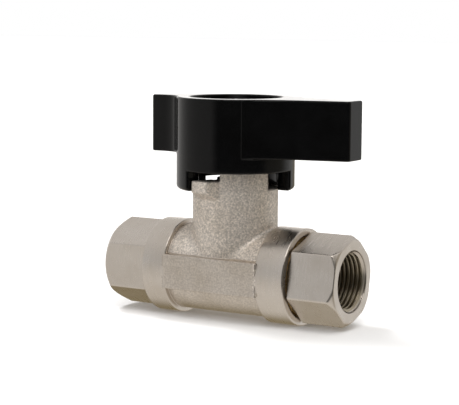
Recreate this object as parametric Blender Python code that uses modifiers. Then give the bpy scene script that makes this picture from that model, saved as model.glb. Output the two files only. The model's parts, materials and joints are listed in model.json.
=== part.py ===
"""Quarter-turn ball valve: a forged body with a screwed end connector, a ball between two
seats, a packed stem and a lever handle whose skirt stops against the neck.

Every piece is modelled about the ball's centre, where the pipe axis (X) and the stem axis (Z)
cross, and each object is then set down at the height of that centre. Lengths are in metres.
"""

import math

import bmesh
import bpy

# Fit between neighbours
GAP = 0.0003

# Overall layout, along the pipe axis and up the stem axis from the ball's centre
AXIS_HEIGHT = 0.0135
BODY_END = -0.0375
CONNECTOR_END = 0.0371
HEX_FLATS = 0.022
HEX_CORNER = HEX_FLATS / math.sqrt(3.0)
HEX_CLEAR = 0.0002
CONNECTOR_TWIST = math.radians(-11.0)

# G 3/8 port
THREAD_PITCH = 0.001337
THREAD_MAJOR = 0.016662 / 2
THREAD_MINOR = 0.01495 / 2
PORT_DEPTH = 0.0128
FLOW_RADIUS = 0.005

# Body
COLLAR_RADIUS = 0.0135
LEFT_COLLAR = (-0.0235, -0.0154)
RIGHT_COLLAR = (0.0139, 0.02285)
BARREL_RADIUS = 0.0122
PAD_DEPTH, PAD_HALF_HEIGHT = 0.0136, 0.00485
CAVITY_RADIUS = 0.009
CAVITY_END = 0.0095
SPIGOT_BORE = 0.0106
SEAL_BORE = 0.0116
SEAL_BORE_DEPTH = 0.0026

# Neck: a low collar round the packing, a stop block and a stop lug on its flat top
NECK_RADIUS = 0.012
NECK_TOP = 0.02375
TOWER_RADIUS, TOWER_TOP = 0.0092, 0.0249
BLOCK_TOP = 0.0292
BLOCK_INNER = 0.0086
BLOCK_FROM, BLOCK_TO = math.radians(-81.0), math.radians(-7.5)
LUG_RADIUS, LUG_INNER, LUG_TOP = 0.0155, 0.0087, 0.0263
LUG_ROOT, LUG_SLOPE = 0.0209, 0.6
LUG_FROM, LUG_TO = math.radians(-111.3), math.radians(-90.0)

# Stem and packing, from the ball up
BALL_RADIUS = 0.0085
SLOT_FLOOR = 0.0059
TANG_WIDTH, TANG_LENGTH = 0.003, 0.0076
FLANGE_RADIUS, FLANGE_BOTTOM, FLANGE_TOP = 0.0052, 0.009, 0.0104
WASHER_THICKNESS = 0.0008
STEM_RADIUS = 0.004
STEM_BORE = 0.0043
ORING_HEIGHTS = (0.0131, 0.0152)
GROOVE_FLOOR = 0.0026
ORING_HALF = (STEM_BORE - GROOVE_FLOOR) / 2 - GAP
BOX_FLOOR, BOX_RADIUS = 0.0164, 0.0066
GLAND_FLATS = 0.0104
GLAND_SHANK, GLAND_HEX = 0.0222, (0.0244, 0.0264)
STEM_SHOULDER, STEM_TOP = 0.0304, 0.0425
STEM_FLAT = 0.0029

# Handle
HUB_RADIUS = 0.01664
HANDLE_TOP = 0.049
ARM_BOTTOM, ARM_TOP = 0.0329, 0.0489
WINDOW_TOP = 0.0287
SKIRT_BOTTOM = 0.02325
SKIRT_INNER = 0.0124
WINDOW_FROM, WINDOW_TO, WINDOW_FLARE = (math.radians(turn) for turn in (-112.7, 5.0, 5.0))
NOTCH_TOP = 0.02566
NOTCH_FROM, NOTCH_TO = math.radians(100.0), math.radians(163.5)
CAVITY_TOP = 0.030
LONG_ARM, LONG_ARM_HALF = 0.0375, 0.0041
LONG_ARM_TAPER = math.radians(12.0)
LONG_ARM_MEETS = math.radians(53.3)
SHORT_ARM, SHORT_ARM_HALF, SHORT_ARM_FILLET = 0.0256, 0.0042, 0.008
RECESS_RADIUS, RECESS_FLOOR = 0.01284, 0.041
BOSS_RADIUS, BOSS_TOP = 0.0085, 0.0435
INSERT_FLATS, INSERT_BOTTOM = 0.011, 0.0328
SCREW_HEAD_RADIUS, SCREW_HEAD = 0.0042, (0.0451, 0.0486)
SCREW_RADIUS, SCREW_TIP = 0.0024, 0.036
SOCKET_FLATS, SOCKET_DEPTH = 0.003, 0.0018
HANDLE_WASHER_RADIUS = 0.0058

# Facets round a full circle
COARSE, FINE = 28, 40

NICKEL = ("nickel_brass", (0.62, 0.58, 0.54), 0.32, 1.0)
BRASS = ("brass", (0.72, 0.55, 0.28), 0.30, 1.0)
CHROME = ("chrome", (0.80, 0.80, 0.82), 0.08, 1.0)
STEEL = ("steel", (0.60, 0.60, 0.60), 0.28, 1.0)
PTFE = ("ptfe", (0.86, 0.86, 0.83), 0.45, 0.0)
RUBBER = ("rubber", (0.03, 0.03, 0.03), 0.60, 0.0)
PLASTIC = ("black_plastic", (0.015, 0.015, 0.016), 0.25, 0.0)


def clear_scene():
    for obj in list(bpy.data.objects):
        bpy.data.objects.remove(obj, do_unlink=True)


def new_collection(name):
    collection = bpy.data.collections.new(name)
    bpy.context.scene.collection.children.link(collection)
    return collection


def material(name, colour, roughness, metallic):
    found = bpy.data.materials.get(name)
    if found:
        return found
    made = bpy.data.materials.new(name)
    made.use_nodes = True
    shader = made.node_tree.nodes["Principled BSDF"]
    shader.inputs["Base Color"].default_value = (*colour, 1.0)
    shader.inputs["Roughness"].default_value = roughness
    shader.inputs["Metallic"].default_value = metallic
    return made


def place(name, mesh, along, finish):
    """An object at the ball's centre: a part when it has a finish, and a helper when it has none."""
    obj = bpy.data.objects.new(name, mesh)
    obj.location = (0.0, 0.0, AXIS_HEIGHT)
    if along == "X":
        obj.rotation_euler = (0.0, math.pi / 2, 0.0)
    if finish:
        PARTS.objects.link(obj)
        mesh.materials.append(material(*finish))
    else:
        HELPERS.objects.link(obj)
        obj.hide_render = True
        obj.display_type = "WIRE"
    return obj


def turned(name, profile, along="Z", steps=COARSE, finish=None):
    """Turns a profile of (radius, height) points that runs down the outer side.

    A profile that starts off the axis is a ring, and its loop is closed.
    """
    mesh = bpy.data.meshes.new(name)
    verts = [(radius, 0.0, height) for radius, height in profile]
    edges = [(i, i + 1) for i in range(len(verts) - 1)]
    if profile[0][0] > 0.0:
        edges.append((len(verts) - 1, 0))
    mesh.from_pydata(verts, edges, [])
    obj = place(name, mesh, along, finish)
    screw = obj.modifiers.new("turn", "SCREW")
    screw.axis = "Z"
    screw.steps = screw.render_steps = steps
    screw.use_merge_vertices = True
    screw.merge_threshold = 0.00001
    screw.use_smooth_shade = True
    return obj


def rod(name, radius, low, high, along="Z", steps=COARSE, finish=None):
    profile = [(0.0, high), (radius, high), (radius, low), (0.0, low)]
    return turned(name, profile, along, steps, finish)


def ring(name, inner, outer, low, high, along="Z", steps=COARSE, finish=None):
    profile = [(outer, high), (outer, low), (inner, low), (inner, high)]
    return turned(name, profile, along, steps, finish)


def hexagon(name, flats, low, high, along="Z", twist=0.0):
    """A hexagonal bar; along X two of its corners point up and down when twist is 0."""
    bm = bmesh.new()
    radius = flats / math.sqrt(3.0)
    bmesh.ops.create_cone(
        bm, cap_ends=True, segments=6, radius1=radius, radius2=radius, depth=high - low
    )
    first = next(iter(bm.verts)).co
    turn = math.atan2(first.y, first.x)
    rotate_and_lift(bm, twist - turn, (low + high) / 2)
    mesh = bpy.data.meshes.new(name)
    bm.to_mesh(mesh)
    bm.free()
    return place(name, mesh, along, None)


def rotate_and_lift(bm, angle, height):
    cos, sin = math.cos(angle), math.sin(angle)
    for vert in bm.verts:
        x, y, z = vert.co
        vert.co = (cos * x - sin * y, sin * x + cos * y, z + height)


def block(name, size, centre, angle=0.0):
    """A box of this size, moved to centre and then turned about Z."""
    bm = bmesh.new()
    bmesh.ops.create_cube(bm, size=1.0)
    for vert in bm.verts:
        vert.co = [side * c + mid for side, c, mid in zip(size, vert.co, centre)]
    rotate_and_lift(bm, angle, 0.0)
    mesh = bpy.data.meshes.new(name)
    bm.to_mesh(mesh)
    bm.free()
    return place(name, mesh, "Z", None)


def prism(name, outline, low, high, along="Z", finish=None):
    """A flat outline of (x, y) points, filled and extruded from low to high."""
    curve = bpy.data.curves.new(name, "CURVE")
    curve.dimensions = "2D"
    curve.fill_mode = "BOTH"
    curve.extrude = (high - low) / 2
    spline = curve.splines.new("POLY")
    spline.points.add(len(outline) - 1)
    for point, (x, y) in zip(spline.points, outline):
        point.co = (x, y, 0.0, 1.0)
    spline.use_cyclic_u = True
    sketch = bpy.data.objects.new(name + "_sketch", curve)
    HELPERS.objects.link(sketch)
    graph = bpy.context.evaluated_depsgraph_get()
    mesh = bpy.data.meshes.new_from_object(sketch.evaluated_get(graph))
    bpy.data.objects.remove(sketch)
    bm = bmesh.new()
    bm.from_mesh(mesh)
    bmesh.ops.remove_doubles(bm, verts=bm.verts, dist=0.000001)
    bmesh.ops.dissolve_limit(bm, angle_limit=0.001, verts=bm.verts, edges=bm.edges)
    bmesh.ops.recalc_face_normals(bm, faces=bm.faces)
    rotate_and_lift(bm, 0.0, (low + high) / 2)
    bm.to_mesh(mesh)
    bm.free()
    return place(name, mesh, along, finish)


def arc(centre, radius, start, end, count):
    """Points on an arc, both ends included."""
    angles = [start + (end - start) * i / count for i in range(count + 1)]
    return [
        (centre[0] + radius * math.cos(a), centre[1] + radius * math.sin(a)) for a in angles
    ]


def sector(name, inner, outer, low, high, start, end, count=10):
    """Part of a ring about Z, between two angles."""
    outline = arc((0, 0), outer, start, end, count) + arc((0, 0), inner, end, start, count)
    return prism(name, outline, low, high)


def combine(obj, operation, *others, solver="EXACT"):
    for other in others:
        boolean = obj.modifiers.new(other.name, "BOOLEAN")
        boolean.operation = operation
        boolean.object = other
        boolean.solver = solver


def cut(obj, *others, solver="EXACT"):
    combine(obj, "DIFFERENCE", *others, solver=solver)


def join(obj, *others, solver="EXACT"):
    combine(obj, "UNION", *others, solver=solver)


def keep_common(obj, *others):
    combine(obj, "INTERSECT", *others)


def port_cutter(name, mouth, inward):
    """The threaded hole at one end: a chamfer, ring-shaped thread grooves and the flow bore.

    inward is +1 when the hole runs towards +X from its mouth and -1 when it runs towards -X.
    """
    crest, mouth_radius = THREAD_MINOR, THREAD_MAJOR + 0.0002
    chamfer, flat = 0.0009, 0.0002
    profile = [(0.0, -0.001), (mouth_radius, -0.001), (mouth_radius, 0.0), (crest, chamfer)]
    depth = chamfer + flat
    while depth + THREAD_PITCH < PORT_DEPTH - 0.001:
        profile.append((crest, depth))
        profile.append((THREAD_MAJOR, depth + THREAD_PITCH / 2))
        depth += THREAD_PITCH
        profile.append((crest, depth - flat))
    profile.append((crest, PORT_DEPTH))
    profile.append((0.0, PORT_DEPTH))
    placed = [(radius, mouth + inward * depth) for radius, depth in profile]
    if inward > 0:
        placed.reverse()
    return turned(name, placed, "X", COARSE)


def make_valve_body():
    """Hexagon, two collars, a barrel with two side pads and the neck, then everything bored out."""
    start, end = LEFT_COLLAR
    chamfer = 0.0022
    body = turned(
        "valve_body",
        [
            (0.0, start + 0.002),
            (HEX_CORNER + HEX_CLEAR, start + 0.002),
            (HEX_CORNER + HEX_CLEAR, BODY_END + chamfer),
            (HEX_FLATS / 2 - 0.0004, BODY_END),
            (0.0, BODY_END),
        ],
        "X",
        FINE,
        NICKEL,
    )
    keep_common(body, hexagon("body_hexagon", HEX_FLATS, BODY_END - 0.001, start + 0.001, "X"))

    collars = [
        turned(
            name,
            [
                (0.0, high),
                (COLLAR_RADIUS - 0.0003, high),
                (COLLAR_RADIUS, high - 0.0003),
                (COLLAR_RADIUS, low + edge),
                (COLLAR_RADIUS - 2 * edge, low),
                (0.0, low),
            ],
            "X",
            FINE,
        )
        for name, (low, high), edge in (
            ("left_collar", LEFT_COLLAR, 0.0008),
            ("right_collar", RIGHT_COLLAR, 0.0001),
        )
    ]
    barrel_start, barrel_end = end - 0.0004, RIGHT_COLLAR[0] + 0.0004
    barrel = rod("barrel", BARREL_RADIUS, barrel_start, barrel_end, "X", FINE)
    pads = block(
        "pads",
        (barrel_end - barrel_start, 2 * PAD_DEPTH, 2 * PAD_HALF_HEIGHT),
        ((barrel_start + barrel_end) / 2, 0.0, 0.0),
    )
    neck = rod("neck", NECK_RADIUS, 0.0, NECK_TOP, "Z", FINE)
    tower = rod("tower", TOWER_RADIUS, 0.01, TOWER_TOP, "Z", FINE)
    stop = sector(
        "stop_block", BLOCK_INNER, NECK_RADIUS + 0.001, NECK_TOP - 0.002, BLOCK_TOP,
        BLOCK_FROM, BLOCK_TO,
    )
    stop_radius = NECK_RADIUS - 0.00005
    keep_common(stop, rod("stop_blank", stop_radius, 0.0, BLOCK_TOP + 0.001, "Z", FINE))
    join(body, *collars, barrel, pads, neck, tower, stop, make_stop_lug(), solver="MANIFOLD")

    cavity = rod("cavity", CAVITY_RADIUS, -CAVITY_END, 0.012, "X", FINE)
    spigot_end = RIGHT_COLLAR[1] + 0.001
    spigot = rod("spigot_bore", SPIGOT_BORE, CAVITY_END + 0.0001, spigot_end, "X", FINE)
    seal = rod("seal_bore", SEAL_BORE, RIGHT_COLLAR[1] - SEAL_BORE_DEPTH, spigot_end, "X", FINE)
    port = port_cutter("body_port", BODY_END, 1)
    flow = rod("body_flow", FLOW_RADIUS, BODY_END + 0.01, -CAVITY_END + 0.002, "X")
    stem_hole = turned(
        "stem_hole",
        [
            (0.0, TOWER_TOP + 0.001),
            (BOX_RADIUS, TOWER_TOP + 0.001),
            (BOX_RADIUS, BOX_FLOOR),
            (STEM_BORE, BOX_FLOOR),
            (STEM_BORE, FLANGE_TOP + WASHER_THICKNESS + 2 * GAP),
            (FLANGE_RADIUS + GAP, FLANGE_TOP + WASHER_THICKNESS + 2 * GAP),
            (FLANGE_RADIUS + GAP, 0.004),
            (0.0, 0.004),
        ],
        "Z",
        FINE,
    )
    cut(body, cavity, spigot, seal, port, flow, stem_hole, solver="MANIFOLD")


def make_stop_lug():
    """The lug that stands out of the neck, with flared flanks and a sloping underside."""
    flare = math.radians(8.6)
    root = NECK_RADIUS
    outline = arc((0, 0), LUG_RADIUS, LUG_FROM, LUG_TO, 4) + [
        (radius * math.cos(turn), radius * math.sin(turn))
        for radius, turn in ((root, LUG_TO + flare), (LUG_INNER, LUG_TO + flare), (LUG_INNER, LUG_FROM))
    ]
    lug = prism("stop_lug", outline, LUG_ROOT - 0.002, LUG_TOP)
    far, near = 0.017, 0.0115
    below = turned(
        "lug_underside",
        [
            (far, LUG_ROOT + LUG_SLOPE * (far - root)),
            (far, LUG_ROOT - 0.003),
            (near, LUG_ROOT - 0.003),
            (near, LUG_ROOT + LUG_SLOPE * (near - root)),
        ],
        "Z",
        FINE,
    )
    cut(lug, below)
    return lug


def make_end_connector():
    """A hexagon that butts against the right collar, and a spigot inside it, bored through."""
    hex_start = RIGHT_COLLAR[1] + GAP
    near_chamfer, far_chamfer = 0.0005, 0.0018
    head = turned(
        "connector_head",
        [
            (0.0, CONNECTOR_END),
            (HEX_FLATS / 2 + 0.0004, CONNECTOR_END),
            (HEX_CORNER + HEX_CLEAR, CONNECTOR_END - far_chamfer),
            (HEX_CORNER + HEX_CLEAR, hex_start + near_chamfer),
            (HEX_CORNER + HEX_CLEAR - near_chamfer, hex_start),
            (0.0, hex_start),
        ],
        "X",
        FINE,
    )
    keep_common(
        head,
        hexagon(
            "connector_hexagon", HEX_FLATS, hex_start - 0.001, CONNECTOR_END + 0.001, "X",
            CONNECTOR_TWIST,
        ),
    )
    spigot_start, spigot_radius, lead_in = CAVITY_END + GAP, SPIGOT_BORE - GAP, 0.0005
    connector = turned(
        "end_connector",
        [
            (0.0, hex_start + 0.002),
            (spigot_radius, hex_start + 0.002),
            (spigot_radius, spigot_start + lead_in),
            (spigot_radius - lead_in, spigot_start),
            (0.0, spigot_start),
        ],
        "X",
        FINE,
        NICKEL,
    )
    join(connector, head)
    port = port_cutter("connector_port", CONNECTOR_END, -1)
    flow = rod("connector_flow", FLOW_RADIUS, spigot_start - 0.001, CONNECTOR_END - 0.01, "X")
    cut(connector, port, flow)


def make_ball():
    """A sphere bored along X, with a slot across its top that runs along Y."""
    bm = bmesh.new()
    bmesh.ops.create_uvsphere(bm, u_segments=COARSE, v_segments=16, radius=BALL_RADIUS)
    mesh = bpy.data.meshes.new("ball")
    bm.to_mesh(mesh)
    bm.free()
    ball = place("ball", mesh, "Z", CHROME)
    bore = rod("ball_bore", FLOW_RADIUS, -0.01, 0.01, "X")
    slot_width = TANG_WIDTH + 2 * GAP
    slot = block(
        "ball_slot", (slot_width, 0.02, 0.01), (0.0, 0.0, SLOT_FLOOR + 0.005)
    )
    cut(ball, bore, slot)


def make_seats():
    """Two rings whose inner faces follow the ball at one gap's distance."""
    inner, outer, back = 0.0054, 0.0086, CAVITY_END - GAP
    face_radius = BALL_RADIUS + GAP + 0.00005
    lip = [
        (radius, math.sqrt(face_radius**2 - radius**2)) for radius in (0.0078, 0.0066, inner)
    ]
    right = [(outer, back), (outer, lip[0][1]), *lip, (inner, back)]
    turned("seat_ring_right", right, "X", COARSE, PTFE)
    left = [(radius, -height) for radius, height in reversed(right)]
    turned("seat_ring_left", left, "X", COARSE, PTFE)


def make_body_seal():
    shoulder = RIGHT_COLLAR[1]
    ring(
        "body_seal_ring", SPIGOT_BORE, SEAL_BORE - GAP,
        shoulder - SEAL_BORE_DEPTH + GAP, shoulder - GAP, "X", COARSE, BRASS,
    )


def make_stem():
    """Tang, flange, shaft with two O-ring grooves, and a double-D end with a screw hole."""
    half_groove = ORING_HALF + GAP
    profile = [(0.0, STEM_TOP), (STEM_RADIUS, STEM_TOP)]
    for height in reversed(ORING_HEIGHTS):
        profile += [
            (STEM_RADIUS, height + half_groove),
            (GROOVE_FLOOR, height + half_groove),
            (GROOVE_FLOOR, height - half_groove),
            (STEM_RADIUS, height - half_groove),
        ]
    profile += [
        (STEM_RADIUS, FLANGE_TOP),
        (FLANGE_RADIUS, FLANGE_TOP),
        (FLANGE_RADIUS, FLANGE_BOTTOM),
        (0.0, FLANGE_BOTTOM),
    ]
    stem = turned("stem", profile, "Z", COARSE, BRASS)
    tang_bottom = SLOT_FLOOR + GAP
    tang_height = FLANGE_BOTTOM + 0.0005 - tang_bottom
    tang = block(
        "tang", (TANG_WIDTH, TANG_LENGTH, tang_height), (0.0, 0.0, tang_bottom + tang_height / 2)
    )
    join(stem, tang)
    for side in (1, -1):
        flat = block(
            f"stem_flat_{side}",
            (0.02, 0.004, 0.02),
            (0.0, side * (STEM_FLAT + 0.002), STEM_SHOULDER + 0.01),
        )
        cut(stem, flat)
    cut(stem, rod("screw_hole", SCREW_RADIUS + GAP, SCREW_TIP - 0.0005, STEM_TOP + 0.001))


def make_orings():
    middle = (STEM_BORE + GROOVE_FLOOR) / 2
    for name, height in zip(("stem_oring_lower", "stem_oring_upper"), ORING_HEIGHTS):
        section = arc((middle, height), ORING_HALF, math.pi / 2, -3 * math.pi / 2, 8)[:-1]
        turned(name, section, "Z", COARSE, RUBBER)


def make_packing():
    """The rings stacked in the packing box, from its floor up to the gland nut."""
    ring(
        "thrust_washer", STEM_BORE, FLANGE_RADIUS,
        FLANGE_TOP + GAP, FLANGE_TOP + GAP + WASHER_THICKNESS, "Z", COARSE, PTFE,
    )
    inner, outer = STEM_RADIUS + GAP, BOX_RADIUS - GAP
    low = BOX_FLOOR + GAP
    for name, thickness, finish in (
        ("packing_ring_lower", 0.001, PTFE),
        ("packing_ring_upper", 0.001, PTFE),
        ("packing_follower", 0.0008, BRASS),
    ):
        ring(name, inner, outer, low, low + thickness, "Z", COARSE, finish)
        low += thickness + GAP
    dish, thickness = 0.0002, 0.0004
    for name, rise in (("spring_washer_lower", dish), ("spring_washer_upper", -dish)):
        base = low + max(0.0, -rise)
        section = [
            (outer, base + thickness),
            (outer, base),
            (inner, base + rise),
            (inner, base + rise + thickness),
        ]
        turned(name, section, "Z", COARSE, STEEL)
        low += dish + thickness + GAP


def make_gland_nut():
    """Hexagon head over a threaded shank that closes the packing box."""
    low, high = GLAND_HEX
    corner = GLAND_FLATS / math.sqrt(3.0)
    head = turned(
        "gland_head",
        [
            (0.0, high),
            (GLAND_FLATS / 2 - HEX_CLEAR, high),
            (corner + HEX_CLEAR, high - 0.0006),
            (corner + HEX_CLEAR, low),
            (0.0, low),
        ],
        "Z",
        COARSE,
    )
    keep_common(head, hexagon("gland_hexagon", GLAND_FLATS, low - 0.001, high + 0.001))
    nut = rod("gland_nut", BOX_RADIUS - GAP, GLAND_SHANK, TOWER_TOP, "Z", COARSE, NICKEL)
    join(nut, head)
    cut(nut, rod("gland_bore", STEM_RADIUS + GAP, 0.02, high + 0.001))


def arms_outline():
    """Both arms from above, mirrored about X, blended into the hub and closed inside it."""
    taper, meets = LONG_ARM_TAPER, LONG_ARM_MEETS
    line = LONG_ARM * math.sin(taper) + LONG_ARM_HALF * math.cos(taper)
    sine = math.sin(meets + taper)
    blend = (HUB_RADIUS * sine - line) / (1.0 - sine)
    reach = HUB_RADIUS + blend
    centre = (reach * math.cos(meets), reach * math.sin(meets))
    tip = [(LONG_ARM, LONG_ARM_HALF - 0.0006), (LONG_ARM - 0.0006, LONG_ARM_HALF + 0.0001)]
    long_side = arc(centre, blend, math.radians(-90) - taper, meets - math.pi, 6)

    fillet = SHORT_ARM_FILLET
    side = SHORT_ARM_HALF + fillet
    middle = (-math.sqrt((HUB_RADIUS + fillet) ** 2 - side**2), side)
    meets_short = math.atan2(middle[1], middle[0])
    short_side = arc(middle, fillet, meets_short - math.pi, math.radians(-90), 4)
    end = [(-SHORT_ARM + 0.0006, SHORT_ARM_HALF), (-SHORT_ARM, SHORT_ARM_HALF - 0.0006)]
    inside = [
        (0.9 * HUB_RADIUS * math.cos(angle), 0.9 * HUB_RADIUS * math.sin(angle))
        for angle in (meets, meets_short)
    ]
    upper = tip + long_side + inside + short_side + end
    return upper + [(x, -y) for x, y in reversed(upper)]


def make_handle():
    """Hub, arms and a skirt whose window turns about the stop lug, from one edge to the other.

    The window's second edge leans with the lug's flank, and a low notch runs round the back.
    """
    edge = 0.0012
    handle = turned(
        "handle",
        [
            (0.0, HANDLE_TOP),
            (HUB_RADIUS, HANDLE_TOP),
            (HUB_RADIUS, SKIRT_BOTTOM + edge),
            (HUB_RADIUS - edge, SKIRT_BOTTOM),
            (0.0, SKIRT_BOTTOM),
        ],
        "Z",
        FINE,
        PLASTIC,
    )
    arms = prism("arms", arms_outline(), ARM_BOTTOM, ARM_TOP)
    join(handle, arms, solver="MANIFOLD")
    recess = turned(
        "top_recess",
        [
            (0.0, HANDLE_TOP + 0.001),
            (RECESS_RADIUS, HANDLE_TOP + 0.001),
            (RECESS_RADIUS, RECESS_FLOOR),
            (BOSS_RADIUS, RECESS_FLOOR),
            (BOSS_RADIUS, BOSS_TOP),
            (0.0, BOSS_TOP),
        ],
        "Z",
        FINE,
    )
    cavity = rod("skirt_cavity", SKIRT_INNER, SKIRT_BOTTOM - 0.001, CAVITY_TOP, "Z", FINE)
    inner, outer, below = SKIRT_INNER - 0.0006, HUB_RADIUS + 0.001, SKIRT_BOTTOM - 0.001
    window = prism(
        "window",
        arc((0, 0), outer, WINDOW_FROM, WINDOW_TO, 12)
        + arc((0, 0), inner, WINDOW_TO + WINDOW_FLARE, WINDOW_FROM, 12),
        below,
        WINDOW_TOP,
    )
    notch = sector("rear_notch", inner, outer, below, NOTCH_TOP, NOTCH_FROM, NOTCH_TO, 6)
    pocket = hexagon("insert_pocket", INSERT_FLATS + 2 * GAP, INSERT_BOTTOM - GAP, BOSS_TOP + 0.001)
    stem_way = rod("stem_way", STEM_RADIUS + 2 * GAP, CAVITY_TOP - 0.001, INSERT_BOTTOM)
    cut(handle, recess, cavity, window, notch, pocket, stem_way, solver="MANIFOLD")


def make_handle_hardware():
    """Insert that takes the stem's flats, with the washer and screw above it."""
    insert = hexagon("insert_hexagon", INSERT_FLATS, INSERT_BOTTOM - 0.001, BOSS_TOP + 0.001)
    bush = rod("handle_insert", INSERT_FLATS, INSERT_BOTTOM, BOSS_TOP - GAP, "Z", COARSE, BRASS)
    keep_common(bush, insert)
    bore = rod("insert_bore", STEM_RADIUS + GAP, INSERT_BOTTOM - 0.001, BOSS_TOP + 0.001)
    slab = block(
        "insert_slab", (0.02, 2 * (STEM_FLAT + GAP), 0.04), (0.0, 0.0, BOSS_TOP - 0.005)
    )
    keep_common(bore, slab)
    cut(bush, bore)

    washer_low = BOSS_TOP + GAP
    ring(
        "handle_washer", SCREW_RADIUS + GAP, HANDLE_WASHER_RADIUS,
        washer_low, SCREW_HEAD[0] - GAP, "Z", COARSE, STEEL,
    )
    low, high = SCREW_HEAD
    dome = [
        (SCREW_HEAD_RADIUS * math.sin(a), low + (high - low) * math.cos(a) ** 0.6)
        for a in [math.radians(18 * i) for i in range(5)]
    ]
    screw = turned(
        "handle_screw",
        [*dome, (SCREW_HEAD_RADIUS, low), (SCREW_RADIUS, low), (SCREW_RADIUS, SCREW_TIP),
         (0.0, SCREW_TIP)],
        "Z",
        COARSE,
        STEEL,
    )
    cut(screw, hexagon("screw_socket", SOCKET_FLATS, high - SOCKET_DEPTH, high + 0.001))


clear_scene()
PARTS = new_collection("ball_valve")
HELPERS = new_collection("cutters")
HELPERS.hide_render = True
make_valve_body()
make_end_connector()
make_ball()
make_seats()
make_body_seal()
make_stem()
make_orings()
make_packing()
make_gland_nut()
make_handle()
make_handle_hardware()
for part in PARTS.objects:
    part.data.shade_smooth()
    part.data.set_sharp_from_angle(angle=math.radians(35))
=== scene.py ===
"""A quarter-turn ball valve on a pale floor, in soft studio light.

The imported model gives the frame. Each visible piece is modelled again here as a solid of
rounded and filleted shapes, given by a signed distance, and its surface is then meshed. Those
shapes are stated in metres from the ball's centre, where the pipe axis and the stem axis cross.
"""

import json
import math

import bpy
import numpy as np
from mathutils import Matrix, Vector


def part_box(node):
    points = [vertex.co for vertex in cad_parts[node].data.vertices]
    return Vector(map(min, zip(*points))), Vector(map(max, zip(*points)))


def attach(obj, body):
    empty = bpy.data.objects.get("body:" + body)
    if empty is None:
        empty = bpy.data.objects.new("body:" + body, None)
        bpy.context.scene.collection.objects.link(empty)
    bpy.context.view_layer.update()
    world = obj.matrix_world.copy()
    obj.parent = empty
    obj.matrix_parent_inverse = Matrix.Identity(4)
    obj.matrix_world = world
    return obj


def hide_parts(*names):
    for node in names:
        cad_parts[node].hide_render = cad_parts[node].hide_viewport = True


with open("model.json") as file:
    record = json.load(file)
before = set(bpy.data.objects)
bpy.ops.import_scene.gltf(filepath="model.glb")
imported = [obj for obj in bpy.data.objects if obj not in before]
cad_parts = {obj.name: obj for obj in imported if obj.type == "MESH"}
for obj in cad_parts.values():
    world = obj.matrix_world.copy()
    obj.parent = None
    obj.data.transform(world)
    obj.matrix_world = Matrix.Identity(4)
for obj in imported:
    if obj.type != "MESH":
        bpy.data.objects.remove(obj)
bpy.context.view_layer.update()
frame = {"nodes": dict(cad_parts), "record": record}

AXIS_HEIGHT = 0.0135
GAP = 0.0003
OVERLAP = 0.001
PORT_CLEARANCE = 0.0002

# Radii of rounded edges and fillets, from the sharpest
HAIR, WELD, FINE, CRISP, PAD_EDGE = 0.0001, 0.00015, 0.0002, 0.0003, 0.00035
SOFT, ROUND, FULL, WIDE, SKIRT_EDGE = 0.0004, 0.0005, 0.0006, 0.0009, 0.0012

# Body and end connector
BODY_END, CONNECTOR_END = -0.0375, 0.0371
HEX_FLATS = 0.022
HEX_CORNER = HEX_FLATS / math.sqrt(3.0)
CONNECTOR_TWIST = math.radians(-11.0)
COLLAR_RADIUS = 0.0135
LEFT_COLLAR, RIGHT_COLLAR = (-0.0235, -0.0154), (0.0139, 0.02285)
COLLAR_CONES = (0.0008, 0.0001)
CORNER_CUT, FLAT_CUT, NEAR_CUT = 0.0002, 0.0004, 0.0003
BODY_CONE, CONNECTOR_CONE, CONNECTOR_NEAR_CONE = 0.0022, 0.0018, 0.0005
BARREL_SINK = 0.0004
BARREL_RADIUS, PAD_DEPTH, PAD_HALF_HEIGHT = 0.0122, 0.0136, 0.00485
NECK_RADIUS, NECK_TOP = 0.012, 0.02375
TOWER_RADIUS, TOWER_ROOT, TOWER_TOP = 0.0092, 0.01, 0.0249
BLOCK_INNER, BLOCK_DEPTH, BLOCK_TOP = 0.0086, 0.002, 0.0292
BLOCK_PROUD = 0.00005
BLOCK_FROM, BLOCK_TO = math.radians(-81.0), math.radians(-7.5)
LUG_RADIUS, LUG_INNER, LUG_TOP = 0.0155, 0.0087, 0.0263
LUG_ROOT, LUG_SLOPE = 0.0209, 0.6
LUG_FROM, LUG_TO, LUG_FLARE = math.radians(-111.3), math.radians(-90.0), math.radians(8.6)
CONNECTOR_START = 0.02315

# Bores
THREAD_PITCH, THREAD_MAJOR, THREAD_MINOR = 0.001337, 0.008331, 0.007475
PORT_DEPTH = 0.0128
FLOW_RADIUS, FLOW_REACH = 0.005, 0.05
CAVITY_RADIUS, CAVITY_END, CAVITY_FAR, SPIGOT_FAR = 0.009, 0.0095, 0.012, 0.03
SPIGOT_BORE, SEAL_BORE, SEAL_BORE_DEPTH = 0.0106, 0.0116, 0.0026
STEM_RADIUS, STEM_BORE = 0.004, 0.0043
BOX_FLOOR, BOX_RADIUS = 0.0164, 0.0066

# Handle
HUB_RADIUS, HUB_INSET, HANDLE_TOP = 0.01664, 0.0002, 0.049
ARM_BOTTOM = 0.0329
SKIRT_BOTTOM, SKIRT_INNER, CAVITY_TOP = 0.02325, 0.0124, 0.030
WINDOW_TOP = 0.0287
WINDOW_FROM, WINDOW_TO, WINDOW_FLARE = (math.radians(turn) for turn in (-112.7, 5.0, 5.0))
NOTCH_TOP, NOTCH_FROM, NOTCH_TO = 0.02566, math.radians(100.0), math.radians(163.5)
LONG_ARM, LONG_ARM_HALF, LONG_ARM_TAPER = 0.0375, 0.0041, math.radians(12.0)
LONG_ARM_MEETS = math.radians(53.3)
SHORT_ARM, SHORT_ARM_HALF, SHORT_ARM_FILLET = 0.0256, 0.0042, 0.008
RECESS_RADIUS, RECESS_FLOOR = 0.01284, 0.041
BOSS_RADIUS, BOSS_TOP = 0.0085, 0.0435
INSERT_FLATS, INSERT_BOTTOM = 0.011, 0.0325
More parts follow.
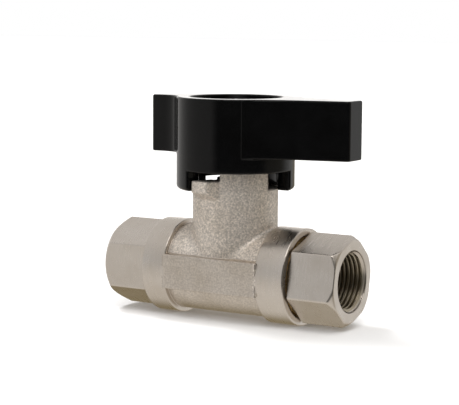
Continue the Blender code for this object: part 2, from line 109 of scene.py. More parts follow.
GLAND_FLATS, GLAND_SHANK, GLAND_HEX, GLAND_CONE = 0.0104, 0.0222, (0.0244, 0.0264), 0.0006
SCREW_HEAD_RADIUS, SCREW_HEAD = 0.0042, (0.0451, 0.0486)
SCREW_RADIUS, SCREW_TIP = 0.0024, 0.036
SOCKET_FLATS, SOCKET_DEPTH, WASHER_RADIUS = 0.003, 0.0018, 0.0058
BALL_RADIUS, SLOT_WIDTH, SLOT_FLOOR = 0.0085, 0.0036, 0.0059


# Signed distances -----------------------------------------------------------------------------


def both(a, b, radius):
    """The solid inside a and b, its shared edge rounded."""
    inner = np.minimum(-radius, np.maximum(a, b))
    return inner + np.hypot(np.maximum(a + radius, 0.0), np.maximum(b + radius, 0.0))


def either(a, b, radius):
    """The solid inside a or b, filleted where they meet."""
    outer = np.maximum(radius, np.minimum(a, b))
    return outer - np.hypot(np.maximum(radius - a, 0.0), np.maximum(radius - b, 0.0))


def without(a, b, radius):
    return both(a, -b, radius)


def between(value, low, high):
    return np.maximum(low - value, value - high)


def beyond_line(u, v, start, end):
    """Distance to the left of the line that runs from start to end."""
    du, dv = end[0] - start[0], end[1] - start[1]
    return ((v - start[1]) * du - (u - start[0]) * dv) / math.hypot(du, dv)


def hexagonal(a, b, flats, twist, radius):
    """A hexagonal bar, with a corner on the b axis when twist is 0."""
    sides = []
    for k in range(3):
        angle = twist + math.radians(60.0 * k)
        sides.append(np.abs(a * math.cos(angle) + b * math.sin(angle)) - flats / 2)
    return both(both(sides[0], sides[1], radius), sides[2], radius)


def wedge(x, y, start, end):
    """What lies between two angles about Z that are less than half a turn apart."""
    low = x * math.sin(start) - y * math.cos(start)
    high = y * math.cos(end) - x * math.sin(end)
    return low, high


def port(x, across, mouth, inward):
    """A port's plain hole, which the thread's surface lines, and the flow bore behind it."""
    depth = (x - mouth) * inward
    wide = np.maximum(across - THREAD_MAJOR - PORT_CLEARANCE, depth - PORT_DEPTH)
    return np.minimum(wide, np.maximum(across - FLOW_RADIUS, depth - FLOW_REACH))


def valve_body(x, y, z):
    across, around = np.hypot(y, z), np.hypot(x, y)
    hexa = hexagonal(y, z, HEX_FLATS, 0.0, CRISP)
    cone = beyond_line(
        x, across,
        (BODY_END, HEX_FLATS / 2 - FLAT_CUT), (BODY_END + BODY_CONE, HEX_CORNER + CORNER_CUT),
    )
    solid = both(both(hexa, cone, CRISP), BODY_END - x, CRISP)
    solid = np.maximum(solid, x - LEFT_COLLAR[0] - OVERLAP)
    for (low, high), cone in zip((LEFT_COLLAR, RIGHT_COLLAR), COLLAR_CONES):
        edge = beyond_line(
            x, across, (low, COLLAR_RADIUS - 2 * cone), (low + cone, COLLAR_RADIUS)
        )
        collar = both(across - COLLAR_RADIUS, edge, CRISP)
        collar = both(collar, low - x, FINE)
        solid = either(solid, both(collar, x - high, SOFT), FINE)

    along = between(x, LEFT_COLLAR[1] - BARREL_SINK, RIGHT_COLLAR[0] + BARREL_SINK)
    barrel = np.maximum(across - BARREL_RADIUS, along)
    neck = both(around - NECK_RADIUS, z - NECK_TOP, SOFT)
    neck = np.maximum(neck, -z)
    tower = both(around - TOWER_RADIUS, between(z, TOWER_ROOT, TOWER_TOP), CRISP)
    neck = either(neck, tower, FINE)
    barrel = either(barrel, neck, WIDE)
    pad = both(np.abs(y) - PAD_DEPTH, np.abs(z) - PAD_HALF_HEIGHT, PAD_EDGE)
    barrel = either(barrel, np.maximum(pad, along), SOFT)
    solid = either(solid, barrel, WELD)

    low, high = wedge(x, y, BLOCK_FROM, BLOCK_TO)
    stop = both(around - NECK_RADIUS + BLOCK_PROUD, high, WIDE)
    stop = both(stop, low, SOFT)
    stop = both(stop, BLOCK_INNER - around, SOFT)
    stop = both(stop, between(z, NECK_TOP - BLOCK_DEPTH, BLOCK_TOP), ROUND)
    solid = either(solid, stop, FINE)

    flank = beyond_line(
        x, y,
        (NECK_RADIUS * math.cos(LUG_TO + LUG_FLARE), NECK_RADIUS * math.sin(LUG_TO + LUG_FLARE)),
        (LUG_RADIUS * math.cos(LUG_TO), LUG_RADIUS * math.sin(LUG_TO)),
    )
    low, high = wedge(x, y, LUG_FROM, LUG_TO)
    root = (LUG_ROOT + LUG_SLOPE * (around - NECK_RADIUS) - z) / math.hypot(1.0, LUG_SLOPE)
    lug = both(around - LUG_RADIUS, np.maximum(low, flank), SOFT)
    lug = both(lug, root, SOFT)
    lug = both(lug, z - LUG_TOP, ROUND)
    lug = np.maximum(lug, np.maximum(LUG_INNER - around, y))
    solid = either(solid, lug, SOFT)

    hole = np.maximum(across - CAVITY_RADIUS, between(x, -CAVITY_END, CAVITY_FAR))
    spigot = np.maximum(across - SPIGOT_BORE, between(x, CAVITY_END, SPIGOT_FAR))
    hole = np.minimum(hole, spigot)
    seal = np.maximum(across - SEAL_BORE, RIGHT_COLLAR[1] - SEAL_BORE_DEPTH - x)
    hole = np.minimum(hole, seal)
    hole = np.minimum(hole, np.maximum(port(x, across, BODY_END, 1), x))
    stem = np.minimum(around - STEM_BORE, np.maximum(around - BOX_RADIUS, BOX_FLOOR - z))
    hole = np.minimum(hole, np.maximum(stem, -z))
    return without(solid, hole, FINE)


def end_connector(x, y, z):
    across = np.hypot(y, z)
    hexa = hexagonal(y, z, HEX_FLATS, CONNECTOR_TWIST, CRISP)
    near = beyond_line(
        x, across,
        (CONNECTOR_START, HEX_CORNER - NEAR_CUT),
        (CONNECTOR_START + CONNECTOR_NEAR_CONE, HEX_CORNER + CORNER_CUT),
    )
    far = beyond_line(
        x, across,
        (CONNECTOR_END - CONNECTOR_CONE, HEX_CORNER + CORNER_CUT),
        (CONNECTOR_END, HEX_FLATS / 2 + FLAT_CUT),
    )
    solid = both(both(hexa, near, HAIR), far, CRISP)
    solid = both(solid, between(x, CONNECTOR_START, CONNECTOR_END), CRISP)
    spigot = both(across - SPIGOT_BORE + GAP, CAVITY_END + GAP - x, SOFT)
    solid = np.minimum(solid, np.maximum(spigot, x - CONNECTOR_START - OVERLAP))
    return without(solid, port(x, across, CONNECTOR_END, -1), FINE)


def long_arm(x, y):
    """The arm towards +X from above: tapered sides that curve out into the hub."""
    line = LONG_ARM * math.sin(LONG_ARM_TAPER) + LONG_ARM_HALF * math.cos(LONG_ARM_TAPER)
    sine = math.sin(LONG_ARM_MEETS + LONG_ARM_TAPER)
    blend = (HUB_RADIUS * sine - line) / (1.0 - sine)
    reach = HUB_RADIUS + blend
    centre = (reach * math.cos(LONG_ARM_MEETS), reach * math.sin(LONG_ARM_MEETS))
    side = np.abs(y)
    straight = x * math.sin(LONG_ARM_TAPER) + side * math.cos(LONG_ARM_TAPER) - line
    curved = blend - np.hypot(x - centre[0], side - centre[1])
    start = centre[0] - blend * math.sin(LONG_ARM_TAPER)
    flank = np.where(x < start, curved, straight)
    arm = both(flank, x - LONG_ARM, WIDE)
    return np.maximum(arm, HUB_RADIUS * math.cos(LONG_ARM_MEETS) - x)


def short_arm(x, y):
    """The arm towards -X from above: parallel sides with a fillet at the hub."""
    level = SHORT_ARM_HALF + SHORT_ARM_FILLET
    middle = -math.sqrt((HUB_RADIUS + SHORT_ARM_FILLET) ** 2 - level**2)
    side = np.abs(y)
    curved = np.maximum(SHORT_ARM_FILLET - np.hypot(x - middle, side - level), side - level)
    flank = np.where(x > middle, curved, side - SHORT_ARM_HALF)
    arm = both(flank, -x - SHORT_ARM, WIDE)
    return np.maximum(arm, x - middle * HUB_RADIUS / (HUB_RADIUS + SHORT_ARM_FILLET))


def handle(x, y, z):
    around = np.hypot(x, y)
    arms = np.minimum(long_arm(x, y), short_arm(x, y))
    arms = np.minimum(arms, around - HUB_RADIUS + HUB_INSET)
    upper = both(arms, ARM_BOTTOM - z, SOFT)
    hub = both(around - HUB_RADIUS, SKIRT_BOTTOM - z, SKIRT_EDGE)
    solid = either(hub, upper, SOFT)
    solid = both(solid, z - HANDLE_TOP, FULL)
    boss = both(around - BOSS_RADIUS, z - BOSS_TOP, SOFT)
    recess = np.maximum(around - RECESS_RADIUS, RECESS_FLOOR - z)
    solid = without(solid, without(recess, boss, FULL), ROUND)
    hollow = np.maximum(around - SKIRT_INNER, z - CAVITY_TOP)
    solid = without(solid, hollow, CRISP)
    low, _ = wedge(x, y, WINDOW_FROM, WINDOW_TO)
    inner, outer = SKIRT_INNER - 2 * GAP, HUB_RADIUS + OVERLAP
    leant = WINDOW_TO + WINDOW_FLARE
    high = beyond_line(
        x, y,
        (inner * math.cos(leant), inner * math.sin(leant)),
        (outer * math.cos(WINDOW_TO), outer * math.sin(WINDOW_TO)),
    )
    window = np.maximum(both(low, high, CRISP), z - WINDOW_TOP)
    window = np.maximum(window, inner - around)
    solid = without(solid, window, FULL)
    low, high = wedge(x, y, NOTCH_FROM, NOTCH_TO)
    notch = np.maximum(np.maximum(low, high), np.maximum(z - NOTCH_TOP, inner - around))
    solid = without(solid, notch, CRISP)
    pocket = hexagonal(x, y, INSERT_FLATS + 2 * GAP, 0.0, FINE)
    pocket = np.maximum(pocket, INSERT_BOTTOM - z)
    way = np.minimum(pocket, around - STEM_RADIUS - 2 * GAP)
    return without(solid, way, FINE)


def gland_nut(x, y, z):
    around = np.hypot(x, y)
    low, high = GLAND_HEX
    corner = GLAND_FLATS / math.sqrt(3.0)
    cone = beyond_line(
        around, z,
        (corner + CORNER_CUT, high - GLAND_CONE), (GLAND_FLATS / 2 - CORNER_CUT, high),
    )
    head = both(hexagonal(y, x, GLAND_FLATS, 0.0, CRISP), -cone, FINE)
    head = both(head, between(z, low, high), FINE)
    shank = both(around - BOX_RADIUS + GAP, between(z, GLAND_SHANK, TOWER_TOP), FINE)
    return without(np.minimum(head, shank), around - STEM_RADIUS - GAP, CRISP)


def handle_screw(x, y, z):
    around = np.hypot(x, y)
    low, high = SCREW_HEAD
    dome = high - low
    sphere = (SCREW_HEAD_RADIUS**2 + dome**2) / (2 * dome)
    crown = np.hypot(around, z - high + sphere) - sphere
    head = both(both(crown, around - SCREW_HEAD_RADIUS + HAIR, ROUND), low - z, FINE)
    shank = both(around - SCREW_RADIUS, SCREW_TIP - z, CRISP)
    solid = np.minimum(head, np.maximum(shank, z - low - OVERLAP / 2))
    socket = np.maximum(hexagonal(x, y, SOCKET_FLATS, 0.0, HAIR), high - SOCKET_DEPTH - z)
    return without(solid, socket, FINE)


def handle_washer(x, y, z):
    around = np.hypot(x, y)
    disc = both(around - WASHER_RADIUS, between(z, BOSS_TOP + GAP, SCREW_HEAD[0] - GAP), FINE)
    return without(disc, around - SCREW_RADIUS - GAP, FINE)


def ball(x, y, z):
    sphere = np.sqrt(x * x + y * y + z * z) - BALL_RADIUS
    solid = without(sphere, np.hypot(y, z) - FLOW_RADIUS, CRISP)
    return without(solid, np.maximum(np.abs(x) - SLOT_WIDTH / 2, SLOT_FLOOR - z), FINE)


# Meshing --------------------------------------------------------------------------------------


def sample(field, low, counts, voxel):
    """The field on a grid, worked out only in the small blocks that its surface may cross."""
    side = 4
    blocks = [math.ceil(n / side) for n in counts]
    values = np.empty([n * side for n in blocks], np.float32)
    starts = np.stack(
        np.meshgrid(*[np.arange(n) * side for n in blocks], indexing="ij"), -1
    ).reshape(-1, 3)
    middles = low + (starts + (side - 1) / 2) * voxel
    coarse = field(*middles.T)
    near = np.abs(coarse) < 1.4 * voxel * side * math.sqrt(3.0) / 2
    tiled = values.reshape(blocks[0], side, blocks[1], side, blocks[2], side)
    tiled = tiled.transpose(0, 2, 4, 1, 3, 5)
    tiled[...] = coarse.reshape(*blocks, 1, 1, 1)
    steps = np.stack(np.meshgrid(*[np.arange(side)] * 3, indexing="ij"), -1).reshape(-1, 3)
    fine = low + (starts[near][:, None, :] + steps[None]) * voxel
    found = field(*fine.reshape(-1, 3).T).reshape(-1, side, side, side)
    i, j, k = (starts[near] // side).T
    tiled[i, j, k] = found
    return values


def surface(field, low, high, voxel):
    """Vertices, four-sided faces and normals of the surface where the field is zero."""
    low = np.array(low) - 2.5 * voxel
    counts = np.ceil((np.array(high) + 2.5 * voxel - low) / voxel).astype(int) + 1
    values = sample(field, low, counts, voxel)
    inside = values < 0.0
    corners = np.array([[i, j, k] for i in (0, 1) for j in (0, 1) for k in (0, 1)])
    spans = [n - 1 for n in values.shape]
    total = np.zeros(spans, np.int8)
    for i, j, k in corners:
        total += inside[i:i + spans[0], j:j + spans[1], k:k + spans[2]]
    cells = np.argwhere((total > 0) & (total < 8))
    index = np.full(spans, -1, np.int32)
    index[tuple(cells.T)] = np.arange(len(cells))

    at = {tuple(c): values[tuple((cells + c).T)].astype(float) for c in corners}
    summed, crossed = np.zeros((len(cells), 3)), np.zeros(len(cells))
    for start in corners:
        for axis in range(3):
            if start[axis]:
                continue
            end = start.copy()
            end[axis] = 1
            first, last = at[tuple(start)], at[tuple(end)]
            hit = (first < 0.0) != (last < 0.0)
            share = np.where(hit, first / np.where(hit, first - last, 1.0), 0.0)
            point = np.repeat(start[None].astype(float), len(cells), 0)
            point[:, axis] = share
            summed += point * hit[:, None]
            crossed += hit
    points = low + (cells + summed / crossed[:, None]) * voxel

    faces = []
    for axis in range(3):
        u, v = (axis + 1) % 3, (axis + 2) % 3
        first = [slice(1, n - 1) for n in values.shape]
        first[axis] = slice(0, values.shape[axis] - 1)
        last = list(first)
        last[axis] = slice(1, values.shape[axis])
        a, b = inside[tuple(first)], inside[tuple(last)]
        for hit, order in ((a & ~b, (0, 1, 2, 3)), (~a & b, (3, 2, 1, 0))):
            grid = np.argwhere(hit)
            grid[:, u] += 1
            grid[:, v] += 1
            ring = []
            for du, dv in ((-1, -1), (0, -1), (0, 0), (-1, 0)):
                cell = grid.copy()
                cell[:, u] += du
                cell[:, v] += dv
                ring.append(index[tuple(cell.T)])
            faces.append(np.stack([ring[n] for n in order], -1))
    faces = np.concatenate(faces)

    for _ in range(4):
        slope = gradient(field, points)
        length = np.maximum((slope**2).sum(1), 0.05)
        move = field(*points.T) / length
        points -= slope * np.clip(move, -voxel / 2, voxel / 2)[:, None]
    normals = gradient(field, points)
    normals /= np.maximum(np.linalg.norm(normals, axis=1), 1e-9)[:, None]
    return points, faces, normals


def gradient(field, points, step=0.00001):
    columns = []
    for axis in range(3):
        shift = np.zeros(3)
        shift[axis] = step
        columns.append((field(*(points + shift).T) - field(*(points - shift).T)) / (2 * step))
    return np.stack(columns, -1)


def thread(mouth, inward, phase):
    """The helical wall of a port, from its mouth to its floor, as rows round the pipe axis."""
    around, per_pitch = 144, 12
    rows = int(PORT_DEPTH / THREAD_PITCH * per_pitch)
    depth = np.linspace(0.0002, PORT_DEPTH - 0.0001, rows)[:, None]
    angle = np.arange(around)[None] * 2 * math.pi / around
    turn = depth / THREAD_PITCH - inward * angle / (2 * math.pi) - phase
    tooth = np.abs((turn % 1.0) * 2.0 - 1.0)
    tooth = np.clip((tooth - 0.5) * 1.35 + 0.5, 0.0, 1.0)
    tooth = tooth * tooth * (3.0 - 2.0 * tooth)
    groove = THREAD_MINOR + (THREAD_MAJOR - THREAD_MINOR) * tooth
    runout = np.clip((depth - PORT_DEPTH + 0.0022) / 0.001, 0.0, 1.0)
    groove = groove + (THREAD_MINOR + 0.0002 - groove) * runout
    radius = np.maximum(groove, THREAD_MAJOR + 0.0002 - depth)
    x = np.broadcast_to(mouth + inward * depth, radius.shape)
    points = np.stack([x, radius * np.cos(angle), radius * np.sin(angle)], -1)
    i, j = np.meshgrid(np.arange(rows - 1), np.arange(around), indexing="ij")
    after = (j + 1) % around
    ring = [i * around + j, i * around + after, (i + 1) * around + after, (i + 1) * around + j]
    if inward < 0:
        ring.reverse()
    faces = np.stack([part.ravel() for part in ring], -1)
    points = points.reshape(-1, 3)
    return points, faces, vertex_normals(points, faces)


def vertex_normals(points, faces):
    one, two = points[faces[:, 2]] - points[faces[:, 0]], points[faces[:, 3]] - points[faces[:, 1]]
    flat = np.cross(one, two)
    normals = np.zeros_like(points)
    for corner in range(4):
        np.add.at(normals, faces[:, corner], flat)
    return normals / np.maximum(np.linalg.norm(normals, axis=1), 1e-12)[:, None]


def piece(name, parts, materials, choose=None):
    """An object made of meshed parts; choose gives each face's material from its middle."""
    points, faces, normals, offset = [], [], [], 0
    for part_points, part_faces, part_normals in parts:
        points.append(part_points)
        faces.append(part_faces + offset)
        normals.append(part_normals)
        offset += len(part_points)
    points, faces, normals = (np.concatenate(part) for part in (points, faces, normals))
    placed = points + np.array([0.0, 0.0, AXIS_HEIGHT])
    mesh = bpy.data.meshes.new(name)
    mesh.vertices.add(len(points))
    mesh.vertices.foreach_set("co", placed.astype(np.float32).ravel())
    mesh.loops.add(faces.size)
    mesh.loops.foreach_set("vertex_index", faces.astype(np.int32).ravel())
    mesh.polygons.add(len(faces))
    mesh.polygons.foreach_set("loop_start", np.arange(0, faces.size, 4, dtype=np.int32))
    for material in materials:
        mesh.materials.append(material)
    if choose:
        middles = points[faces].mean(1)
        mesh.polygons.foreach_set("material_index", choose(*middles.T).astype(np.int32))
    mesh.polygons.foreach_set("use_smooth", np.ones(len(faces), bool))
    mesh.update(calc_edges=True)
    mesh.validate()
    mesh.normals_split_custom_set_from_vertices(normals.tolist())
    obj = bpy.data.objects.new(name, mesh)
    bpy.context.scene.collection.objects.link(obj)
    return obj


def modelled(field, node, voxel):
    low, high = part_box(node)
    shift = np.array([0.0, 0.0, AXIS_HEIGHT])
    return surface(field, np.array(low) - shift, np.array(high) - shift, voxel)


# Materials ------------------------------------------------------------------------------------


class Finish:
    """A node material, with short calls for the textures that the finishes share."""

    def __init__(self, name, metallic, **sockets):
        self.material = bpy.data.materials.new(name)
        self.material.use_nodes = True
        self.tree = self.material.node_tree
        self.shader = self.tree.nodes["Principled BSDF"]
        self.shader.inputs["Metallic"].default_value = metallic
        for socket, value in sockets.items():
            self.shader.inputs[socket.replace("_", " ")].default_value = value
        self.place = self.tree.nodes.new("ShaderNodeTexCoord").outputs["Object"]
        self.bumped = None

    def link(self, out, into):
        self.tree.links.new(out, into)

    def noise(self, scale, stretch=(1.0, 1.0, 1.0), detail=4.0, rough=0.55):
        mapping = self.tree.nodes.new("ShaderNodeMapping")
        mapping.inputs["Scale"].default_value = stretch
        self.link(self.place, mapping.inputs["Vector"])
        noise = self.tree.nodes.new("ShaderNodeTexNoise")
        noise.inputs["Scale"].default_value = scale
        noise.inputs["Detail"].default_value = detail
        noise.inputs["Roughness"].default_value = rough
        self.link(mapping.outputs["Vector"], noise.inputs["Vector"])
        return noise.outputs["Fac"]

    def ramp(self, value, stops):
        ramp = self.tree.nodes.new("ShaderNodeValToRGB")
        elements = ramp.color_ramp.elements
        while len(elements) < len(stops):
            elements.new(0.5)
        for element, (position, colour) in zip(elements, stops):
            element.position = position
            element.color = (*colour, 1.0)
        self.link(value, ramp.inputs["Fac"])
        return ramp.outputs["Color"]

    def spread(self, value, low, high, start=0.3, end=0.7):
        change = self.tree.nodes.new("ShaderNodeMapRange")
        for socket, number in zip(("From Min", "From Max", "To Min", "To Max"),
                                  (start, end, low, high)):
            change.inputs[socket].default_value = number
        self.link(value, change.inputs["Value"])
        return change.outputs["Result"]

    def bump(self, height, distance, strength=1.0):
        bump = self.tree.nodes.new("ShaderNodeBump")
        bump.inputs["Distance"].default_value = distance
        bump.inputs["Strength"].default_value = strength
        self.link(height, bump.inputs["Height"])
        if self.bumped:
            self.link(self.bumped, bump.inputs["Normal"])
        self.bumped = bump.outputs["Normal"]
        self.link(self.bumped, self.shader.inputs["Normal"])


def nickel_cast(name, metallic, contrast, depth, rough):
    """Forged and blasted, then nickel plated: sparkling grain over faint stains."""
    made = Finish(name, metallic)
    stain = made.ramp(made.noise(90.0, detail=6.0), [
        (0.30, (0.600, 0.535, 0.460)), (0.52, (0.675, 0.612, 0.545)), (0.75, (0.725, 0.667, 0.605)),
    ])
    dim, lit = 1.0 - contrast, 1.0 + contrast
    grain = made.ramp(made.noise(1900.0, detail=2.0), [
        (0.35, (dim, dim, dim)), (0.53, (1.0, 1.0, 1.0)), (0.68, (lit, lit, lit)),
    ])
    mix = made.tree.nodes.new("ShaderNodeMix")
    mix.data_type, mix.blend_type = "RGBA", "MULTIPLY"
    mix.inputs["Factor"].default_value = 1.0
    made.link(stain, mix.inputs["A"])
    made.link(grain, mix.inputs["B"])
    made.link(mix.outputs["Result"], made.shader.inputs["Base Color"])
    made.link(
        made.spread(made.noise(700.0, detail=5.0), rough - 0.07, rough + 0.07),
        made.shader.inputs["Roughness"],
    )
    made.bump(made.noise(1500.0, detail=4.0, rough=0.65), depth, 0.8)
    made.bump(made.noise(420.0, detail=2.0), 0.00005, 0.5)
    return made.material


def nickel_turned():
    """Machined before plating: fine rings about the pipe axis, smoother than the forging."""
    made = Finish("nickel_turned", 1.0)
    stain = made.ramp(made.noise(70.0, detail=5.0), [
        (0.30, (0.612, 0.552, 0.485)), (0.55, (0.682, 0.627, 0.570)), (0.78, (0.728, 0.678, 0.622)),
    ])
    made.link(stain, made.shader.inputs["Base Color"])
    made.link(
        made.spread(made.noise(260.0, (8.0, 1.0, 1.0), detail=5.0), 0.24, 0.36),
        made.shader.inputs["Roughness"],
    )
    made.bump(made.noise(700.0, (12.0, 0.4, 0.4), detail=3.0), 0.00002, 0.5)
    made.bump(made.noise(500.0, detail=2.0), 0.00002, 0.4)
    return made.material


def plain_metal(name, dark, light, low, high, grain, stretch):
    """A machined metal with soft colour and gloss changes and fine tool marks."""
    made = Finish(name, 1.0)
    made.link(
        made.ramp(made.noise(120.0, detail=5.0), [(0.3, dark), (0.7, light)]),
        made.shader.inputs["Base Color"],
    )
    made.link(
        made.spread(made.noise(400.0, detail=4.0), low, high), made.shader.inputs["Roughness"]
    )
    made.bump(made.noise(grain, stretch, detail=3.0), 0.00002, 0.5)
    return made.material


def moulded(name, dark, light, low, high, grain, **sockets):
    """A moulded plastic or rubber: faint mottling, uneven gloss and a skin of fine grain."""
    made = Finish(name, 0.0, **sockets)
    made.link(
        made.ramp(made.noise(150.0, detail=5.0), [(0.3, dark), (0.7, light)]),
        made.shader.inputs["Base Color"],
    )
    made.link(
        made.spread(made.noise(300.0, detail=5.0), low, high), made.shader.inputs["Roughness"]
    )
    made.bump(made.noise(grain, detail=2.0), 0.00002, 0.4)
    return made.material


# Painted shade: the port walls and threads get a darker, browner metal than the nickel outside,
# standing in for the shade deep in the bores
BORE = plain_metal(
    "bore_metal_painted_shade", (0.36, 0.31, 0.22), (0.58, 0.52, 0.42), 0.28, 0.42, 700.0, (8.0, 1.0, 1.0)
)
BLASTED = nickel_cast("nickel_blasted", 1.0, 0.14, 0.00005, 0.40)
COARSE = nickel_cast("nickel_coarse", 0.75, 0.30, 0.00016, 0.50)
TURNED = nickel_turned()
BRASS = plain_metal(
    "brass", (0.62, 0.44, 0.19), (0.76, 0.58, 0.30), 0.22, 0.36, 900.0, (1.0, 1.0, 8.0)
)
CHROME = plain_metal(
    "chrome", (0.74, 0.74, 0.76), (0.82, 0.82, 0.84), 0.05, 0.12, 300.0, (1.0, 1.0, 1.0)
)
STEEL = plain_metal(
    "zinc_steel", (0.52, 0.52, 0.54), (0.66, 0.66, 0.68), 0.24, 0.38, 900.0, (1.0, 1.0, 6.0)
)
PTFE = moulded("ptfe", (0.80, 0.80, 0.76), (0.88, 0.88, 0.85), 0.38, 0.52, 500.0)
RUBBER = moulded("rubber", (0.020, 0.020, 0.020), (0.035, 0.035, 0.034), 0.55, 0.7, 900.0)
PLASTIC = moulded(
    "black_plastic", (0.0010, 0.0010, 0.0011), (0.0020, 0.0020, 0.0022), 0.09, 0.15, 600.0,
    Specular_IOR_Level=0.20,
)
CAD_FINISHES = {"brass": BRASS, "chrome": CHROME, "steel": STEEL, "ptfe": PTFE, "rubber": RUBBER}


# Pieces ---------------------------------------------------------------------------------------


FINISH_MARGIN, MOUTH_LENGTH, PAD_END_LENGTH, PAD_END_RISE = 0.0002, 0.0007, 0.0007, 0.00005


# Faces inside a port past its mouth, which take the painted shade of the bore metal
def in_port(x, y, z, mouth):
    return (np.hypot(y, z) < THREAD_MAJOR + GAP) & (np.abs(x - mouth) > MOUTH_LENGTH)


def body_finish_and_shade(x, y, z):
    """0 blasted, 1 turned or milled, 2 in the bores, painted darker as shade, 3 coarse: the neck
    and the pads' ends.
    """
    low, high = LEFT_COLLAR[1] + FINISH_MARGIN, RIGHT_COLLAR[0] - FINISH_MARGIN
    turned = between(x, low, high) > 0.0
    coarse = z > PAD_HALF_HEIGHT + GAP
    pad_end = between(x, high, RIGHT_COLLAR[0] + PAD_END_LENGTH) < 0.0
    pad_end &= (np.hypot(y, z) > COLLAR_RADIUS + PAD_END_RISE) & (np.abs(z) < PAD_HALF_HEIGHT)
    made = np.where(turned & ~pad_end, 1, np.where(coarse | pad_end, 3, 0))
    return np.where(in_port(x, y, z, BODY_END), 2, made)


def end_finish_and_shade(x, y, z):
    """0 turned or milled, 1 inside the bore, painted darker as shade."""
    return np.where(in_port(x, y, z, CONNECTOR_END), 1, 0)


PIECES = [
    (
        "brass_body", valve_body, "valve_body", "valve", "nickel_brass",
        (BLASTED, TURNED, BORE, COARSE), 0.00025,
    ),
    (
        "screwed_end", end_connector, "end_connector", "valve", "nickel_brass",
        (TURNED, BORE), 0.00025,
    ),
    ("packing_nut", gland_nut, "gland_nut", "valve", "nickel_brass", (TURNED,), 0.0002),
    ("lever_handle", handle, "handle", "lever", "black_plastic", (PLASTIC,), 0.00025),
    ("lever_screw", handle_screw, "handle_screw", "lever", "steel", (STEEL,), 0.00015),
    ("lever_washer", handle_washer, "handle_washer", "lever", "steel", (STEEL,), 0.00015),
    ("chromed_ball", ball, "ball", "ball", "chrome", (CHROME,), 0.0002),
]
THREADS = {
    "brass_body": (BODY_END, 1, 0.35),
    "screwed_end": (CONNECTOR_END, -1, 0.15),
}
CHOICES = {"brass_body": body_finish_and_shade, "screwed_end": end_finish_and_shade}

for name, field, node, body, slot, finishes, voxel in PIECES:
    parts = [modelled(field, node, voxel)]
    if name in THREADS:
        parts.append(thread(*THREADS[name]))
    made = piece(name, parts, finishes, CHOICES.get(name))
    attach(made, body)
    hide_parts(node)

replaced = {node for _, _, node, *_ in PIECES}
for row in frame["record"]["subparts"]:
    if row["node"] in replaced:
        continue
    kept = frame["nodes"][row["node"]]
    for slot_of_kept in kept.material_slots:
        slot_of_kept.material = CAD_FINISHES[row["material_slot"]]


# Floor, light and camera ----------------------------------------------------------------------


def make_floor():
    mesh = bpy.data.meshes.new("floor")
    side = 4.0
    mesh.from_pydata(
        [(-side, -side, 0.0), (side, -side, 0.0), (side, side, 0.0), (-side, side, 0.0)],
        [], [(0, 1, 2, 3)],
    )
    floor = bpy.data.objects.new("floor", mesh)
    bpy.context.scene.collection.objects.link(floor)
    made = Finish("floor_paper", 0.0, Roughness=0.9, Specular_IOR_Level=0.1)
    made.link(
        made.ramp(made.noise(3.0), [(0.3, (0.91, 0.91, 0.915)), (0.7, (0.93, 0.93, 0.93))]),
        made.shader.inputs["Base Color"],
    )
    mesh.materials.append(made.material)
    floor.visible_glossy = False


# The studio that the metal mirrors, from pale floor to pale ceiling: position and colour
SKY = [
    (0.0, (0.70, 0.66, 0.60)),
    (0.25, (0.74, 0.71, 0.67)),
    (0.42, (0.68, 0.655, 0.62)),
    (0.58, (0.58, 0.58, 0.58)),
    (0.92, (0.67, 0.655, 0.64)),
    (1.0, (0.70, 0.69, 0.68)),
]
# Soft patches over it, each on top of the last: direction, cosines where it starts and is full,
# heights between which it fades in (None for a patch that has no lower edge), colour
LEVEL = (-0.45, -0.25)
REGIONS = [
    ((-0.5, 0.75, -0.43), 0.60, 0.98, None, (0.26, 0.21, 0.12)),
    ((-0.85, 0.5, 0.0), 0.65, 0.95, LEVEL, (0.79, 0.77, 0.745)),
    ((0.6, 0.8, 0.0), 0.80, 0.97, LEVEL, (0.78, 0.77, 0.75)),
    ((0.95, 0.1, 0.1), 0.60, 0.85, None, (0.40, 0.37, 0.31)),
    ((0.62, -0.78, 0.05), 0.50, 0.75, (-0.5, -0.3), (0.08, 0.08, 0.075)),
    ((-0.515, 0.857, 0.0), 0.955, 0.99, None, (1.5, 1.47, 1.44)),
    ((0.2, -0.45, 0.87), 0.94, 0.985, None, (3.2, 3.1, 3.0)),
]


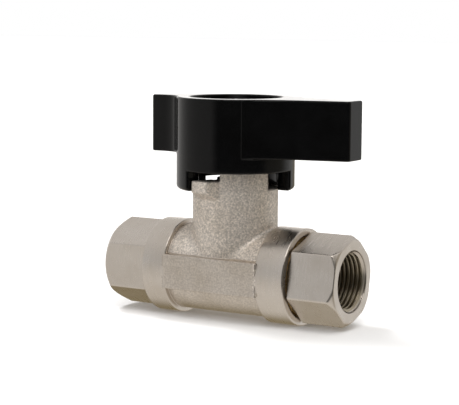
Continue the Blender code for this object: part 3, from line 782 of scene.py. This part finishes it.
def make_world():
    """What the object mirrors is the studio above; the camera itself sees plain white."""
    world = bpy.data.worlds.new("studio")
    bpy.context.scene.world = world
    world.use_nodes = True
    tree = world.node_tree
    tree.nodes.clear()
    place = tree.nodes.new("ShaderNodeTexCoord").outputs["Generated"]

    def facing(towards, start, end):
        """How far a direction lies towards this one, from 0 at start to 1 at end."""
        dot = tree.nodes.new("ShaderNodeVectorMath")
        dot.operation = "DOT_PRODUCT"
        dot.inputs[1].default_value = Vector(towards).normalized()
        tree.links.new(place, dot.inputs[0])
        share = tree.nodes.new("ShaderNodeMapRange")
        share.interpolation_type = "SMOOTHSTEP"
        share.inputs["From Min"].default_value = start
        share.inputs["From Max"].default_value = end
        tree.links.new(dot.outputs["Value"], share.inputs["Value"])
        return share.outputs["Result"]

    def product(one, two):
        times = tree.nodes.new("ShaderNodeMath")
        times.operation = "MULTIPLY"
        tree.links.new(one, times.inputs[0])
        tree.links.new(two, times.inputs[1])
        return times.outputs["Value"]

    def over(share, below, colour):
        mix = tree.nodes.new("ShaderNodeMix")
        mix.data_type = "RGBA"
        tree.links.new(share, mix.inputs["Factor"])
        tree.links.new(below, mix.inputs["A"])
        mix.inputs["B"].default_value = (*colour, 1.0)
        return mix.outputs["Result"]

    height = tree.nodes.new("ShaderNodeVectorMath")
    height.operation = "DOT_PRODUCT"
    height.inputs[1].default_value = (0.0, 0.0, 0.5)
    tree.links.new(place, height.inputs[0])
    ramp = tree.nodes.new("ShaderNodeValToRGB")
    lift = tree.nodes.new("ShaderNodeMath")
    lift.operation = "ADD"
    lift.inputs[1].default_value = 0.5
    tree.links.new(height.outputs["Value"], lift.inputs[0])
    tree.links.new(lift.outputs["Value"], ramp.inputs["Fac"])
    while len(ramp.color_ramp.elements) < len(SKY):
        ramp.color_ramp.elements.new(0.5)
    for element, (position, colour) in zip(ramp.color_ramp.elements, SKY):
        element.position = position
        element.color = (*colour, 1.0)
    colour = ramp.outputs["Color"]
    for towards, start, end, floor, tint in REGIONS:
        share = facing(towards, start, end)
        if floor:
            share = product(share, facing((0, 0, 1), *floor))
        colour = over(share, colour, tint)

    soft, white = tree.nodes.new("ShaderNodeBackground"), tree.nodes.new("ShaderNodeBackground")
    tree.links.new(colour, soft.inputs["Color"])
    white.inputs["Color"].default_value = (1.0, 1.0, 1.0, 1.0)
    seen = tree.nodes.new("ShaderNodeLightPath")
    mix = tree.nodes.new("ShaderNodeMixShader")
    tree.links.new(seen.outputs["Is Camera Ray"], mix.inputs[0])
    tree.links.new(soft.outputs["Background"], mix.inputs[1])
    tree.links.new(white.outputs["Background"], mix.inputs[2])
    out = tree.nodes.new("ShaderNodeOutputWorld")
    tree.links.new(mix.outputs["Shader"], out.inputs["Surface"])


def make_lamp(name, towards, strength, spread):
    """A broad, even light that shades the floor; the metal mirrors the studio and not the lamp."""
    data = bpy.data.lights.new(name, "SUN")
    data.energy = strength
    data.angle = spread
    lamp = bpy.data.objects.new(name, data)
    lamp.rotation_mode = "QUATERNION"
    lamp.rotation_quaternion = Vector(towards).to_track_quat("-Z", "Y")
    lamp.visible_glossy = False
    bpy.context.scene.collection.objects.link(lamp)


def make_camera():
    """Right of the front and a little above, with a long lens."""
    side, rise, distance = math.radians(30.877), math.radians(9.471), 0.43506
    side_aim, down_aim, roll = math.radians(31.099), math.radians(6.968), math.radians(0.388)
    place = Vector((
        distance * math.sin(side) * math.cos(rise),
        -distance * math.cos(side) * math.cos(rise),
        distance * math.sin(rise) + AXIS_HEIGHT,
    ))
    forward = Vector((
        -math.sin(side_aim) * math.cos(down_aim),
        math.cos(side_aim) * math.cos(down_aim),
        -math.sin(down_aim),
    ))
    right = Vector((math.cos(side_aim), math.sin(side_aim), 0.0))
    up = right.cross(forward)
    turned_right = right * math.cos(roll) + up * math.sin(roll)
    turned_up = up * math.cos(roll) - right * math.sin(roll)
    data = bpy.data.cameras.new("camera")
    data.sensor_width = 36.0
    data.lens = 120.37
    data.clip_start, data.clip_end = 0.02, 30.0
    camera = bpy.data.objects.new("camera", data)
    axes = Matrix((turned_right, turned_up, -forward)).transposed()
    camera.matrix_world = Matrix.Translation(place) @ axes.to_4x4()
    bpy.context.scene.collection.objects.link(camera)
    bpy.context.scene.camera = camera


make_floor()
make_world()
make_lamp("key_light", (0.50, -0.12, -0.85), 1.7, math.radians(20.0))
make_lamp("fill_light", (-0.5, 0.6, -0.62), 1.7, math.radians(50.0))
make_camera()
bpy.context.scene.view_settings.view_transform = "Standard"
